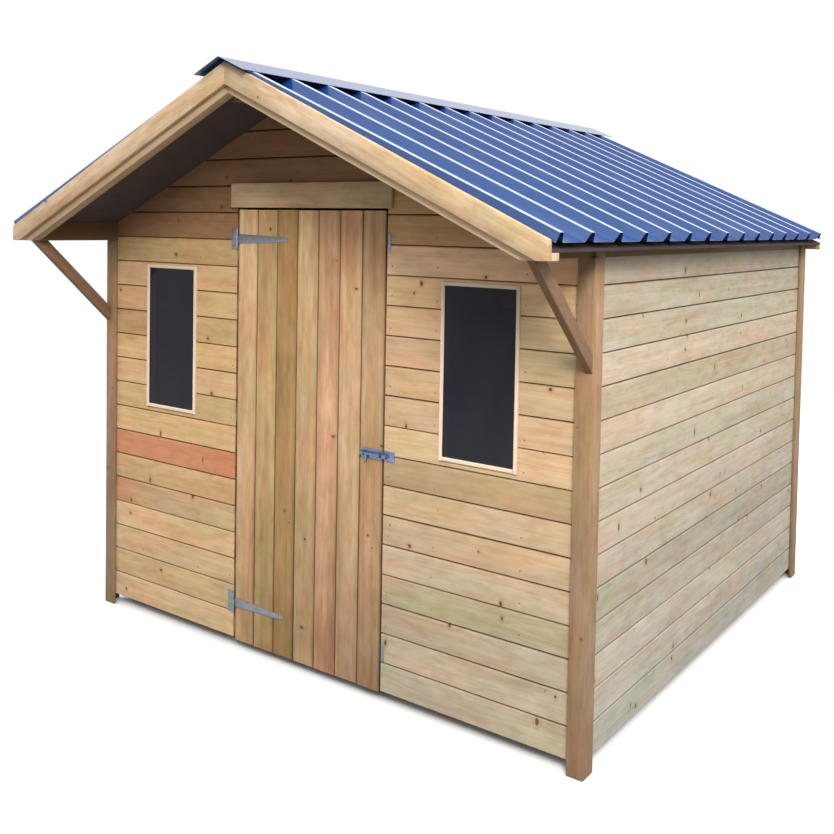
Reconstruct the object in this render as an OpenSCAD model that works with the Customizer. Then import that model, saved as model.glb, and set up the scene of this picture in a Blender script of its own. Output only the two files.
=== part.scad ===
// Apex garden shed: boarded walls on a timber frame, a ledged door between two fixed
// windows, and a box-profile steel roof that runs out over the front on knee braces.
// X runs across the front, Y runs back from the door and Z is up. The origin is under
// the middle of the roof, on the ground.

/* [Body] */
// Width over the boarding of the two side walls
body_w = 2420; // [1800:10:3000]
// Length over the boarding of the front and rear walls
body_l = 2485; // [2300:5:3300]
// Height of the side walls' top, which is the underside of the eave beams
eave_h = 1703; // [1680:1:1900]
// Height of the boarding's lower edge above the ground
board_foot_h = 45; // [20:1:48]
// Thickness of the wall boarding
board_t = 15; // [12:0.5:20]
// Side of the square studs and rails behind the boarding
stud = 45; // [35:1:50]
// Bays between the studs of each side wall
side_bays = 4; // [3:1:6]
// Bays between the studs of the rear wall
rear_bays = 4; // [3:1:6]

/* [Floor] */
// Number of bearers under the floor
bearer_count = 5; // [3:1:7]
// Height of a bearer
bearer_h = 50; // [50:1:70]
// Width of a bearer
bearer_w = 75; // [45:1:100]
// Distance from the walls' outer face in to the bearers
bearer_inset = 110; // [60:5:200]
// Thickness of the floor boards
floor_t = 15; // [12:1:20]

/* [Corner trims] */
// Width of the trims on the front and rear walls
trim_w = 62; // [50:1:90]
// Width of the trims on the side walls
side_trim_w = 58; // [50:1:90]
// Thickness of every trim
trim_t = 15; // [10:1:20]

/* [Door] */
// Width of the door leaf
door_w = 764; // [620:1:840]
// Height of the door leaf
door_h = 1811; // [1500:1:1850]
// Height of the door's lower edge above the ground
door_foot_h = 38; // [35:1:44]
// Gap round the door
door_gap = 8; // [6:0.5:10]
// Thickness of the door's boards
door_board_t = 15; // [12:0.5:20]
// Width of the ledges and braces behind the door
ledge_w = 90; // [60:1:110]
// Thickness of the ledges and braces
ledge_t = 20; // [15:1:22]
// Distance from the door's edge in to the ledges
ledge_inset = 30; // [25:1:60]
// Distance from the door's ends in to the outer ledges
ledge_end_inset = 120; // [100:5:250]
// How far the board over the door runs past the doorway on each side
header_lap = 24; // [10:1:60]
// Height of the board over the door
header_h = 100; // [60:1:140]

/* [Windows] */
// Width over a window's frame
window_w = 317; // [240:1:340]
// Height over a window's frame
window_h = 640; // [400:1:640]
// Height of a window's lower edge above the ground
window_sill_h = 960; // [900:1:990]
// How far each window's middle lies outside the middle of the wall beside the doorway
window_shift = -8; // [-100:1:100]
// Width of the window frame's bars
window_bar_w = 20; // [18:1:40]
// How far the window frame stands out of the boarding
window_proud = 7; // [3:1:12]
// Depth of the window frame behind the boarding's face
window_depth = 35; // [30:1:50]
// Distance from the window frame's face back to the glass
glass_set = 6; // [4:1:15]
// Thickness of the glass
glass_t = 4; // [3:0.5:6]
// Depth of the rebate that the glass lies in
glass_rebate = 8; // [5:1:10]

/* [Roof] */
// Slope of the roof in degrees
roof_pitch = 25; // [20:0.5:30]
// Distance from the front boarding out to the bargeboards' face
front_overhang = 464; // [420:1:600]
// Distance from the side boarding out to the bargeboards' ends
side_overhang = 82; // [40:1:120]
// How far the steel runs past the bargeboards' ends and the rear bargeboards
sheet_lip = 10; // [5:1:30]
// Height of the eave beam at its outer face
eave_beam_h = 62; // [50:1:75]
// Width of the ridge beam
ridge_beam_w = 35; // [30:1:50]
// Height of the ridge beam
ridge_beam_h = 90; // [70:1:120]
// Depth of the rafters square to the roof
rafter_h = 66; // [60:1:100]
// Thickness of the rafters
rafter_w = 45; // [35:1:50]
// Thickness of the boards under the steel
deck_t = 9; // [8:1:12]
// Width of the front bargeboards square to the roof
barge_w = 74; // [70:1:110]
// How far the front bargeboards' top edges lie below the tops of the ribs
barge_drop = 10; // [0:1:15]
// Width of the rear bargeboards square to the roof
rear_barge_w = 70; // [60:1:90]
// Thickness of the bargeboards
barge_t = 20; // [15:1:25]

/* [Steel roofing] */
// Thickness of the steel
sheet_t = 2; // [1:0.5:3]
// Height of a rib above the pan
rib_h = 32; // [20:1:40]
// Spacing of the ribs
rib_pitch = 203; // [150:1:300]
// Width of a rib's top
rib_top_w = 24; // [15:1:40]
// Width of a rib's foot
rib_foot_w = 60; // [50:1:90]
// Level width of each side of the ridge cap
cap_w = 122; // [80:1:200]
// How far the ridge cap runs past the roof at each end
cap_reach = 30; // [0:1:60]

/* [Knee braces] */
// Height of a brace between the middles of its two ends
brace_rise = 340; // [200:5:400]
// Reach of a brace between the middles of its two ends
brace_reach = 370; // [200:5:375]
// Width of a brace in its own plane
brace_w = 48; // [40:1:55]
// Thickness of a brace
brace_t = 28; // [22:1:40]

/* [Hinges] */
// Length of a hinge strap from the pin
strap_l = 282; // [200:1:350]
// Width of a strap at its root
strap_root_w = 40; // [34:1:50]
// Width of a strap at its tip
strap_tip_w = 18; // [10:1:25]
// Thickness of the hinge plates and straps
strap_t = 2.5; // [2:0.5:4]
// Height of the fixed plate of a hinge
plate_h = 90; // [70:1:120]
// Width of the fixed plate of a hinge
plate_w = 28; // [20:1:40]
// Outer radius of a knuckle
knuckle_r = 5; // [4:0.5:6]
// Height of each of a hinge's three knuckles
knuckle_h = 28; // [20:1:30]
// Radius of the hinge pin
pin_r = 2.5; // [2:0.5:3]
// Distance from the door's foot up to the lower hinge's middle
low_hinge_rise = 159; // [100:1:300]
// Distance from the door's top down to the upper hinge's middle
high_hinge_drop = 121; // [100:1:300]

/* [Bolt] */
// Height of the bolt above the ground
bolt_h = 937; // [800:1:1100]
// Length of the bolt's plate
bolt_plate_l = 92; // [80:1:120]
// Height of the bolt's plate and of its keep
bolt_plate_h = 38; // [30:1:50]
// Length of the keep's plate
keep_l = 46; // [35:1:60]
// Radius of the bolt
bolt_r = 6; // [5:0.5:7]
// Radial clearance of the bolt in its guides
bolt_play = 0.5; // [0.3:0.1:0.6]
// Distance from the door's face out to the bolt's axis
bolt_out = 11; // [10:0.5:14]
// Thickness of a guide along the bolt
guide_l = 12; // [8:1:16]
// How far the bolt travels
bolt_travel = 36; // [36:1:40]
// Length of the jamb's two small plates
jamb_plate_h = 72; // [50:1:90]
// Width of the jamb's two small plates
jamb_plate_w = 12; // [10:1:20]

/* [Hidden] */
$fn = 48;

// clearance between neighbours that seat on each other
fit = 0.3;
// how far a cutting shape runs past what it cuts
past = 5;

half_w = body_w / 2;
frame_half_w = half_w - board_t;
roof_l = front_overhang + body_l + barge_t + sheet_lip;
front_y = front_overhang - roof_l / 2;
rear_y = front_y + body_l;
barge_y = front_y - front_overhang;
sheet_y = barge_y + barge_t;
roof_rear_y = rear_y + barge_t;
front_in_y = front_y + board_t;
rear_in_y = rear_y - board_t;
floor_top = bearer_h + floor_t;

// the outer faces of the side trims
out_x = half_w + trim_t;

// the roof's planes, each by its height over a distance x from the ridge
slope = tan(roof_pitch);
function upright(t) = t / cos(roof_pitch);
function deck_under(x) = eave_h + eave_beam_h + (half_w - abs(x)) * slope;
function rafter_under(x) = deck_under(x) - upright(rafter_h);
function sheet_base(x) = deck_under(x) + upright(deck_t) + fit;
function rib_top(x) = sheet_base(x) + upright(sheet_t + rib_h);
function barge_top(x) = rib_top(x) - barge_drop;
function barge_under(x) = barge_top(x) - upright(barge_w);
function rear_barge_under(x) = deck_under(x) - fit - upright(rear_barge_w);

// the distance from the ridge where a plane of the roof comes down to the eave
function foot_x(under_at_wall) = half_w - (eave_h - under_at_wall) / slope;
barge_end_x = half_w + side_overhang;
// the underside of the ridge beam, less a clearance
ridge_foot = deck_under(ridge_beam_w / 2) - ridge_beam_h - 2 * fit;
beam_in_x = half_w - stud;
plate_top = eave_h - fit;

// the doorway
opening_half_w = door_w / 2 + door_gap;
opening_top = door_foot_h + door_h + door_gap;
header_half_w = opening_half_w + header_lap;

// the windows stand in the walls between the doorway and the corners
window_x = (opening_half_w + half_w) / 2 + window_shift;

// the hinges keep their distances from the door's ends
low_hinge_h = door_foot_h + low_hinge_rise;
high_hinge_h = door_foot_h + door_h - high_hinge_drop;

// the hinge pin stands over the middle of the gap at the door's left edge
pin_x = -door_w / 2 - door_gap / 2;
pin_y = front_y - knuckle_r;
knuckle_gap = 0.5;
strap_neck = 7;

// an outline in XZ carried back from y by l
module panel(points, y, l) {
    translate([0, y + l, 0])
        rotate([90, 0, 0])
            linear_extrude(height = l)
                polygon(points);
}

// a box between two corners
module block(low, high) {
    translate(low)
        cube(high - low);
}

// the child, and its mirror image across the ridge
module both_sides() {
    children();
    mirror([1, 0, 0])
        children();
}

// ---- floor ----

module floor_bearers() {
    first_y = front_y + bearer_inset;
    step = (body_l - 2 * bearer_inset - bearer_w) / (bearer_count - 1);
    color("#6f6a4e")
        for (i = [0 : bearer_count - 1])
            block([-half_w + bearer_inset, first_y + i * step, 0],
                [half_w - bearer_inset, first_y + i * step + bearer_w, bearer_h]);
}

module floor_boards() {
    color("#b08d5e")
        block([-frame_half_w, front_in_y, bearer_h], [frame_half_w, rear_in_y, floor_top]);
}

// ---- wall boarding ----

// the hole that a window frame fills
module window_hole() {
    block([window_x - window_w / 2 - fit, front_y - past, window_sill_h - fit],
        [window_x + window_w / 2 + fit, front_in_y + past, window_sill_h + window_h + fit]);
}

// the whole front boarding, notched for the eave beams and slotted for the ridge beam
module front_skin() {
    notch_x = beam_in_x - fit;
    slot_x = ridge_beam_w / 2 + fit;
    slot_top = deck_under(slot_x) - fit;
    difference() {
        panel([[-half_w, board_foot_h], [half_w, board_foot_h], [half_w, plate_top],
            [notch_x, plate_top], [notch_x, deck_under(notch_x) - fit],
            [slot_x, slot_top], [slot_x, ridge_foot], [-slot_x, ridge_foot], [-slot_x, slot_top],
            [-notch_x, deck_under(notch_x) - fit], [-notch_x, plate_top], [-half_w, plate_top]],
            front_y, board_t);
        both_sides()
            window_hole();
    }
}

// the part of the boarding beside the doorway and the part above it
module front_wall() {
    intersection() {
        front_skin();
        block([opening_half_w, front_y - past, 0], [half_w + past, front_in_y + past, opening_top]);
    }
}

module front_wall_right() {
    color("#c09468")
        front_wall();
}

module front_wall_left() {
    color("#c09468")
        mirror([1, 0, 0])
            front_wall();
}

module front_gable() {
    color("#a9764a")
        intersection() {
            front_skin();
            block([-half_w - past, front_y - past, opening_top],
                [half_w + past, front_in_y + past, deck_under(0)]);
        }
}

module rear_wall() {
    color("#c09468")
        panel([[-half_w, board_foot_h], [half_w, board_foot_h], [half_w, deck_under(half_w) - fit],
            [0, deck_under(0) - fit], [-half_w, deck_under(half_w) - fit]], rear_in_y, board_t);
}

module right_wall() {
    color("#bd9a6b")
        block([frame_half_w, front_in_y, board_foot_h], [half_w, rear_in_y, plate_top]);
}

module left_wall() {
    color("#bd9a6b")
        mirror([1, 0, 0])
            block([frame_half_w, front_in_y, board_foot_h], [half_w, rear_in_y, plate_top]);
}

// ---- wall frames ----

stud_foot = floor_top + stud + fit;
stud_head = plate_top - stud - fit;

// a stud of the front or rear wall with its lower left corner at x
module cross_stud(x, y, top, w = stud) {
    block([x, y, stud_foot], [x + w, y + stud, top]);
}

// the post under the ridge beam, as wide as the beam so that it stands between the rafters
module king_post(y, foot) {
    block([-ridge_beam_w / 2, y, foot], [ridge_beam_w / 2, y + stud, ridge_foot]);
}

module front_frame() {
    y = front_in_y;
    window_low_x = window_x - window_w / 2 - fit;
    window_high_x = window_x + window_w / 2 + fit;
    jamb_head = rafter_under(opening_half_w + stud) - fit;
    // the studs beside the window are as wide as the others where there is room
    near_stud_w = min(stud, window_low_x - opening_half_w - stud - fit);
    far_stud_w = min(stud, frame_half_w - stud - window_high_x - fit);
    // bottom rail, top rail, jamb stud and corner stud
    block([opening_half_w, y, floor_top], [frame_half_w, y + stud, floor_top + stud]);
    block([opening_half_w + stud + fit, y, stud_head + fit],
        [beam_in_x - fit, y + stud, plate_top]);
    cross_stud(opening_half_w, y, jamb_head);
    cross_stud(frame_half_w - stud, y, stud_head);
    // studs, sill and head round the window
    cross_stud(window_low_x - near_stud_w, y, stud_head, near_stud_w);
    cross_stud(window_high_x, y, stud_head, far_stud_w);
    block([window_low_x + fit, y, window_sill_h - stud - fit],
        [window_high_x - fit, y + stud, window_sill_h - fit]);
    block([window_low_x + fit, y, window_sill_h + window_h + fit],
        [window_high_x - fit, y + stud, stud_head]);
}

module front_frame_right() {
    color("#a8845a")
        front_frame();
}

module front_frame_left() {
    color("#a8845a")
        mirror([1, 0, 0])
            front_frame();
}

// the rail over the door and the post from it to the ridge beam
module front_frame_top() {
    y = front_in_y;
    post_foot = opening_top + stud + fit;
    color("#a8845a") {
        block([-opening_half_w + fit, y, opening_top], [opening_half_w - fit, y + stud, post_foot - fit]);
        king_post(y, post_foot);
    }
}

module rear_frame() {
    y = rear_in_y - stud;
    step = (2 * frame_half_w - stud) / rear_bays;
    color("#a8845a") {
        block([-frame_half_w, y, floor_top], [frame_half_w, y + stud, floor_top + stud]);
        block([-beam_in_x + fit, y, stud_head + fit], [beam_in_x - fit, y + stud, plate_top]);
        for (i = [0 : rear_bays])
            cross_stud(-frame_half_w + i * step, y, stud_head);
        king_post(y, plate_top + fit);
    }
}

module side_frame() {
    low_x = frame_half_w - stud;
    low_y = front_in_y + stud + fit;
    high_y = rear_in_y - stud - fit;
    step = (high_y - low_y - stud) / side_bays;
    block([low_x, low_y, floor_top], [frame_half_w, high_y, floor_top + stud]);
    block([low_x, low_y, stud_head + fit], [frame_half_w, high_y, plate_top]);
    for (i = [0 : side_bays])
        block([low_x, low_y + i * step, stud_foot], [frame_half_w, low_y + i * step + stud, stud_head]);
}

module right_frame() {
    color("#a8845a")
        side_frame();
}

module left_frame() {
    color("#a8845a")
        mirror([1, 0, 0])
            side_frame();
}

// ---- trims ----

// the two boards that cover the front right corner; they run down to the ground
module corner_trim() {
    block([out_x - trim_w, front_y - trim_t, 0], [out_x, front_y, plate_top]);
    block([half_w, front_y + fit, 0], [out_x, front_y + side_trim_w, deck_under(out_x) - fit]);
}

// the child, moved to the rear as its mirror image
module at_rear() {
    translate([0, front_y + rear_y, 0])
        mirror([0, 1, 0])
            children();
}

module corner_trim_front_right() {
    color("#a1764f")
        corner_trim();
}

module corner_trim_front_left() {
    color("#a1764f")
        mirror([1, 0, 0])
            corner_trim();
}

module corner_trim_rear_right() {
    color("#a1764f")
        at_rear()
            corner_trim();
}

module corner_trim_rear_left() {
    color("#a1764f")
        at_rear()
            mirror([1, 0, 0])
                corner_trim();
}

module door_header() {
    color("#a57c52")
        block([-header_half_w, front_y - trim_t, opening_top],
            [header_half_w, front_y, opening_top + header_h]);
}

// ---- windows ----

glass_y = front_y - window_proud + glass_set;

// the frame is rebated from behind for the glass
module window_frame() {
    low_x = window_x - window_w / 2;
    high_x = window_x + window_w / 2;
    high_z = window_sill_h + window_h;
    lip = window_bar_w - glass_rebate;
    difference() {
        block([low_x, front_y - window_proud, window_sill_h], [high_x, front_y + window_depth, high_z]);
        block([low_x + window_bar_w, front_y - window_proud - past, window_sill_h + window_bar_w],
            [high_x - window_bar_w, front_y + window_depth + past, high_z - window_bar_w]);
        block([low_x + lip, glass_y, window_sill_h + lip],
            [high_x - lip, front_y + window_depth + past, high_z - lip]);
    }
}

module window_glass() {
    lip = window_bar_w - glass_rebate + fit;
    block([window_x - window_w / 2 + lip, glass_y, window_sill_h + lip],
        [window_x + window_w / 2 - lip, glass_y + glass_t, window_sill_h + window_h - lip]);
}

module window_frame_right() {
    color("#dccba8")
        window_frame();
}

module window_frame_left() {
    color("#dccba8")
        mirror([1, 0, 0])
            window_frame();
}

module window_glass_right() {
    color("#2a3040")
        window_glass();
}

module window_glass_left() {
    color("#2a3040")
        mirror([1, 0, 0])
            window_glass();
}

// ---- roof timbers ----

// each beam lies on the side wall, bevelled to the roof, and runs out to the front rafter
module eave_beam() {
    y = sheet_y + rafter_w;
    panel([[beam_in_x, eave_h], [half_w, eave_h], [half_w, deck_under(half_w) - fit],
        [beam_in_x, deck_under(beam_in_x) - fit]], y, rear_in_y - y);
}

module eave_beam_right() {
    color("#7a5c40")
        eave_beam();
}

module eave_beam_left() {
    color("#7a5c40")
        mirror([1, 0, 0])
            eave_beam();
}

module ridge_beam() {
    y = sheet_y + rafter_w;
    top = deck_under(ridge_beam_w / 2) - fit;
    color("#7a5c40")
        block([-ridge_beam_w / 2, y, top - ridge_beam_h], [ridge_beam_w / 2, rear_in_y, top]);
}

// the front rafter runs out to the eave, cut level at its foot; the others stop at the
// eave beam, cut level too where they reach down to the side wall
module rafters() {
    low_x = ridge_beam_w / 2 + fit;
    high_x = beam_in_x - fit;
    wall_ys = [front_in_y, rear_in_y - rafter_w];
    step = (wall_ys[1] - wall_ys[0]) / 3;
    heel_x = foot_x(rafter_under(half_w));
    foot = rafter_under(high_x) < eave_h ? [[high_x, eave_h], [heel_x, eave_h]]
        : [[high_x, rafter_under(high_x)]];
    panel([[fit / 2, deck_under(0) - fit], [barge_end_x, deck_under(barge_end_x) - fit],
        [barge_end_x, eave_h], [heel_x, eave_h], [fit / 2, rafter_under(0)]], sheet_y, rafter_w);
    for (i = [0 : 3])
        panel(concat([[low_x, deck_under(low_x) - fit], [high_x, deck_under(high_x) - fit]], foot,
            [[low_x, rafter_under(low_x)]]), wall_ys[0] + i * step, rafter_w);
}

module rafters_right() {
    color("#8a6a48")
        rafters();
}

module rafters_left() {
    color("#8a6a48")
        mirror([1, 0, 0])
            rafters();
}

module roof_deck() {
    panel([[fit / 2, deck_under(0)], [barge_end_x, deck_under(barge_end_x)],
        [barge_end_x, deck_under(barge_end_x) + upright(deck_t)], [fit / 2, deck_under(0) + upright(deck_t)]],
        sheet_y, roof_rear_y - sheet_y);
}

module roof_deck_right() {
    color("#4c4446")
        roof_deck();
}

module roof_deck_left() {
    color("#4c4446")
        mirror([1, 0, 0])
            roof_deck();
}

// ---- steel roofing ----

sheet_l = roof_rear_y + sheet_lip - sheet_y;
// the first rib's top starts at the sheet's front edge
first_rib = rib_top_w / 2;
rib_count = floor((sheet_l - first_rib - rib_foot_w / 2) / rib_pitch) + 1;
// the sheet stops this far from the ridge, under the cap
sheet_top_gap = 15;
sheet_run = (barge_end_x + sheet_lip) / cos(roof_pitch) - sheet_top_gap;

// the four corners of each rib, the first one plumb in front; inset narrows a rib to give
// the steel's inner face
function rib_points(z, inset) = [for (i = [0 : rib_count - 1])
    let (y = first_rib + i * rib_pitch, foot = rib_foot_w / 2 - inset, top = rib_top_w / 2 - inset)
    each [[y - (i == 0 ? top : foot), z - (i == 0 ? z : 0)], [y - top, z + rib_h], [y + top, z + rib_h],
        [y + foot, z]]];

function reversed(list) = [for (i = [len(list) - 1 : -1 : 0]) list[i]];

// the profile stands on its inner face and is carried down the slope from the ridge
module roof_sheet() {
    outer = rib_points(sheet_t, 0);
    inner = rib_points(0, sheet_t);
    translate([0, sheet_y, sheet_base(0)])
        rotate([0, roof_pitch, 0])
            translate([sheet_top_gap, 0, 0])
                rotate([90, 0, 90])
                    linear_extrude(height = sheet_run)
                        polygon(concat(outer, [[sheet_l, sheet_t], [sheet_l, 0]], reversed(inner)));
}

module roof_sheet_right() {
    color("#3a5fae")
        roof_sheet();
}

module roof_sheet_left() {
    color("#3a5fae")
        mirror([1, 0, 0])
            roof_sheet();
}

module ridge_cap() {
    edge = rib_top(cap_w) + fit;
    apex = rib_top(0) + fit;
    t = upright(sheet_t);
    color("#2c3038")
        panel([[-cap_w, edge], [0, apex], [cap_w, edge], [cap_w, edge + t], [0, apex + t],
            [-cap_w, edge + t]], barge_y - cap_reach, roof_l + 2 * cap_reach);
}

// ---- bargeboards and braces ----

// the front pair cover the ends of the steel and are cut level at the foot
module bargeboards_front() {
    heel_x = foot_x(barge_under(half_w));
    color("#c9ad7c")
        both_sides()
            panel([[fit / 2, barge_top(0)], [barge_end_x, barge_top(barge_end_x)], [barge_end_x, eave_h],
                [heel_x, eave_h], [fit / 2, barge_under(0)]], barge_y, barge_t);
}

// the rear pair are fixed to the boarding, under the roof
module bargeboards_rear() {
    heel_x = foot_x(rear_barge_under(half_w));
    color("#c9ad7c")
        both_sides()
            panel([[fit / 2, deck_under(0) - fit], [barge_end_x, deck_under(barge_end_x) - fit],
                [barge_end_x, eave_h], [heel_x, eave_h], [fit / 2, rear_barge_under(0)]],
                rear_y, barge_t);
}

// plumb against the trim and level under the eave beam, in line with the side trim
module knee_brace() {
    angle = atan2(brace_rise, brace_reach);
    trim_y = front_y - trim_t;
    half_plumb = brace_w / cos(angle) / 2;
    half_level = brace_w / sin(angle) / 2;
    foot_z = plate_top - brace_rise;
    head_y = trim_y - brace_reach;
    translate([out_x - brace_t, 0, 0])
        rotate([90, 0, 90])
            linear_extrude(height = brace_t)
                polygon([[trim_y, foot_z - half_plumb], [trim_y, foot_z + half_plumb],
                    [head_y + half_level, plate_top], [head_y - half_level, plate_top]]);
}

module knee_brace_right() {
    color("#a87c52")
        knee_brace();
}

module knee_brace_left() {
    color("#a87c52")
        mirror([1, 0, 0])
            knee_brace();
}

// ---- door ----

module door_boards() {
    color("#b98d5c")
        block([-door_w / 2, front_y, door_foot_h],
            [door_w / 2, front_y + door_board_t, door_foot_h + door_h]);
}

// three ledges, with a brace rising from the hinge side between each two
module door_ledges() {
    back_y = front_y + door_board_t;
    half_l = door_w / 2 - ledge_inset;
    low_z = door_foot_h + ledge_end_inset;
    high_z = door_foot_h + door_h - ledge_end_inset - ledge_w;
    mid_z = (low_z + high_z) / 2;
    bay = mid_z - low_z - ledge_w - 2 * fit;
    run = 2 * half_l - ledge_w;
    color("#a8845a")
        for (z = [low_z, mid_z, high_z]) {
            block([-half_l, back_y, z], [half_l, back_y + ledge_t, z + ledge_w]);
            if (z < high_z)
                translate([0, 0, z + ledge_w + fit])
                    panel([[-half_l, 0], [-half_l + ledge_w, 0], [-half_l + ledge_w + run, bay],
                        [-half_l + run, bay]], back_y, ledge_t);
        }
}

// ---- hinges ----

// one of a hinge's three knuckles, counted from the lowest
module knuckle(z, index) {
    low = z + (index - 1.5) * knuckle_h + knuckle_gap / 2;
    translate([pin_x, pin_y, low])
        cylinder(r = knuckle_r, h = knuckle_h - knuckle_gap);
}

module hinge_plates() {
    edge_x = pin_x - knuckle_r - 1;
    color("#7d8b96")
        for (z = [low_hinge_h, high_hinge_h]) {
            block([edge_x - plate_w, front_y - strap_t, z - plate_h / 2], [edge_x, front_y, z + plate_h / 2]);
            for (index = [0, 2]) {
                knuckle(z, index);
                low = z + (index - 1.5) * knuckle_h + knuckle_gap / 2;
                block([edge_x, front_y - strap_t, low], [pin_x, front_y, low + knuckle_h - knuckle_gap]);
            }
            translate([pin_x, pin_y, z - knuckle_h])
                cylinder(r = pin_r, h = 2 * knuckle_h);
        }
}

// a tapered strap with a round tip, on the middle knuckle
module hinge_straps() {
    root_x = pin_x + strap_neck;
    tip_x = pin_x + strap_l - strap_tip_w / 2;
    color("#7d8b96")
        for (z = [low_hinge_h, high_hinge_h])
            difference() {
                union() {
                    knuckle(z, 1);
                    block([pin_x, front_y - strap_t, z - knuckle_h / 2 + knuckle_gap / 2],
                        [root_x + past, front_y, z + knuckle_h / 2 - knuckle_gap / 2]);
                    translate([0, 0, z])
                        panel([[root_x, -strap_root_w / 2], [tip_x, -strap_tip_w / 2],
                            [tip_x, strap_tip_w / 2], [root_x, strap_root_w / 2]],
                            front_y - strap_t, strap_t);
                    translate([tip_x, front_y, z])
                        rotate([90, 0, 0])
                            cylinder(r = strap_tip_w / 2, h = strap_t);
                }
                translate([pin_x, pin_y, z - knuckle_h])
                    cylinder(r = pin_r + fit, h = 2 * knuckle_h);
            }
}

// ---- bolt ----

bolt_y = front_y - bolt_out;
plate_edge_x = door_w / 2 - 2;
guide_r = bolt_r + 4;

// a plate on the face at x, and guides with a bore for the bolt at the places given
module guided_plate(x, l, guides) {
    difference() {
        union() {
            block([x, front_y - strap_t, bolt_h - bolt_plate_h / 2], [x + l, front_y, bolt_h + bolt_plate_h / 2]);
            for (guide_x = guides) {
                block([guide_x, bolt_y, bolt_h - guide_r], [guide_x + guide_l, front_y - strap_t, bolt_h + guide_r]);
                translate([guide_x, bolt_y, bolt_h])
                    rotate([0, 90, 0])
                        cylinder(r = guide_r, h = guide_l);
            }
        }
        translate([x - past, bolt_y, bolt_h])
            rotate([0, 90, 0])
                cylinder(r = bolt_r + bolt_play, h = l + 2 * past);
    }
}

module bolt_plate() {
    x = plate_edge_x - bolt_plate_l;
    color("#8fa0b4")
        guided_plate(x, bolt_plate_l, [x + 2, plate_edge_x - guide_l - 2]);
}

module bolt_keep() {
    x = opening_half_w + 2;
    color("#a9b4c2")
        guided_plate(x, keep_l, [x + 4]);
}

// drawn back, with its handle hanging between the guides
module bolt_rod() {
    tip_x = plate_edge_x - 2;
    handle_x = plate_edge_x - bolt_plate_l + guide_l + 8;
    handle_t = 8;
    handle_l = 30;
    color("#93a2b3") {
        translate([tip_x - bolt_plate_l + 2, bolt_y, bolt_h])
            rotate([0, 90, 0])
                cylinder(r = bolt_r, h = bolt_plate_l - 2);
        block([handle_x, bolt_y - handle_t / 2, bolt_h - handle_l],
            [handle_x + handle_t, bolt_y + handle_t / 2, bolt_h]);
    }
}

// small plates on the lock side, level with the hinges
module jamb_plates() {
    x = opening_half_w + 3;
    color("#9aa4ab")
        for (z = [low_hinge_h, high_hinge_h])
            block([x, front_y - strap_t, z - jamb_plate_h / 2],
                [x + jamb_plate_w, front_y, z + jamb_plate_h / 2]);
}

floor_bearers();
floor_boards();
front_wall_left();
front_wall_right();
front_gable();
rear_wall();
left_wall();
right_wall();
front_frame_left();
front_frame_right();
front_frame_top();
rear_frame();
left_frame();
right_frame();
corner_trim_front_left();
corner_trim_front_right();
corner_trim_rear_left();
corner_trim_rear_right();
door_header();
window_frame_left();
window_frame_right();
window_glass_left();
window_glass_right();
eave_beam_left();
eave_beam_right();
ridge_beam();
rafters_left();
rafters_right();
roof_deck_left();
roof_deck_right();
roof_sheet_left();
roof_sheet_right();
ridge_cap();
bargeboards_front();
bargeboards_rear();
knee_brace_left();
knee_brace_right();
hinge_plates();
bolt_keep();
jamb_plates();
door_boards();
door_ledges();
hinge_straps();
bolt_plate();
bolt_rod();
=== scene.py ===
"""Looks of the garden shed: boarding, steel roofing, ironwork, materials, light and camera."""

import math
import random

import bmesh
import bpy
import numpy as np
from mathutils import Matrix, Vector


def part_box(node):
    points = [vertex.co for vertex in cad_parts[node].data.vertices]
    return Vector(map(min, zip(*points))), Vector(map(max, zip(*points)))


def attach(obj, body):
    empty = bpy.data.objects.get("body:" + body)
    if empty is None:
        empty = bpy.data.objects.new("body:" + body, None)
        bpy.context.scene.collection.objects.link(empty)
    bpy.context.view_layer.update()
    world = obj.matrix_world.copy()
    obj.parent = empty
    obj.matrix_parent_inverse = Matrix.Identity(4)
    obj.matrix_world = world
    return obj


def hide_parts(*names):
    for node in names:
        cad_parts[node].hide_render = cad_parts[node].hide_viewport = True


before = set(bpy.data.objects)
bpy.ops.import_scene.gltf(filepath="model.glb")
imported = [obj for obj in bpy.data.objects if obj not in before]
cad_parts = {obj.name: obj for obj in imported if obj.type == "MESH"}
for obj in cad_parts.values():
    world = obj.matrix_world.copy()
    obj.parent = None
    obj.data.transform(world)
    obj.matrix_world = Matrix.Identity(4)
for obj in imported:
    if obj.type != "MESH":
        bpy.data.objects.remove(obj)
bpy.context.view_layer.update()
scene = bpy.context.scene
rng = random.Random(21)

MM = 0.001
X, Y, Z = Vector((1, 0, 0)), Vector((0, 1, 0)), Vector((0, 0, 1))

# ---------------------------------------------------------------- colours


def srgb(r, g, b):
    """A linear colour from 8-bit values."""
    return tuple(
        c / 255 / 12.92 if c <= 10 else ((c / 255 + 0.055) / 1.055) ** 2.4
        for c in (r, g, b)
    )


# tones of the boards, each with its share of the draw
FRONT_TONES = [
    ((216, 184, 144), 4),
    ((208, 178, 138), 3),
    ((218, 190, 152), 3),
    ((206, 182, 140), 2),
    ((210, 176, 140), 2),
    ((196, 166, 126), 1),
]
SIDE_TONES = [
    ((201, 190, 173), 4),
    ((197, 187, 171), 3),
    ((202, 188, 171), 2),
    ((191, 184, 166), 2),
    ((197, 184, 163), 1),
]
TRIM_TONES = [((166, 138, 110), 2), ((158, 132, 106), 1), ((171, 144, 116), 1)]
HEADER_TONES = [((213, 187, 156), 1)]
BARGE_TONES = [((210, 186, 158), 2), ((202, 179, 150), 1)]
FRAME_TONES = [((206, 176, 136), 2), ((198, 166, 126), 1)]
PALE_TONES = [((238, 218, 198), 1)]
FLOOR_TONES = [((196, 162, 118), 2), ((186, 150, 108), 1), ((202, 172, 128), 1)]
TREATED_TONES = [((150, 148, 108), 2), ((140, 132, 98), 1)]
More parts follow.
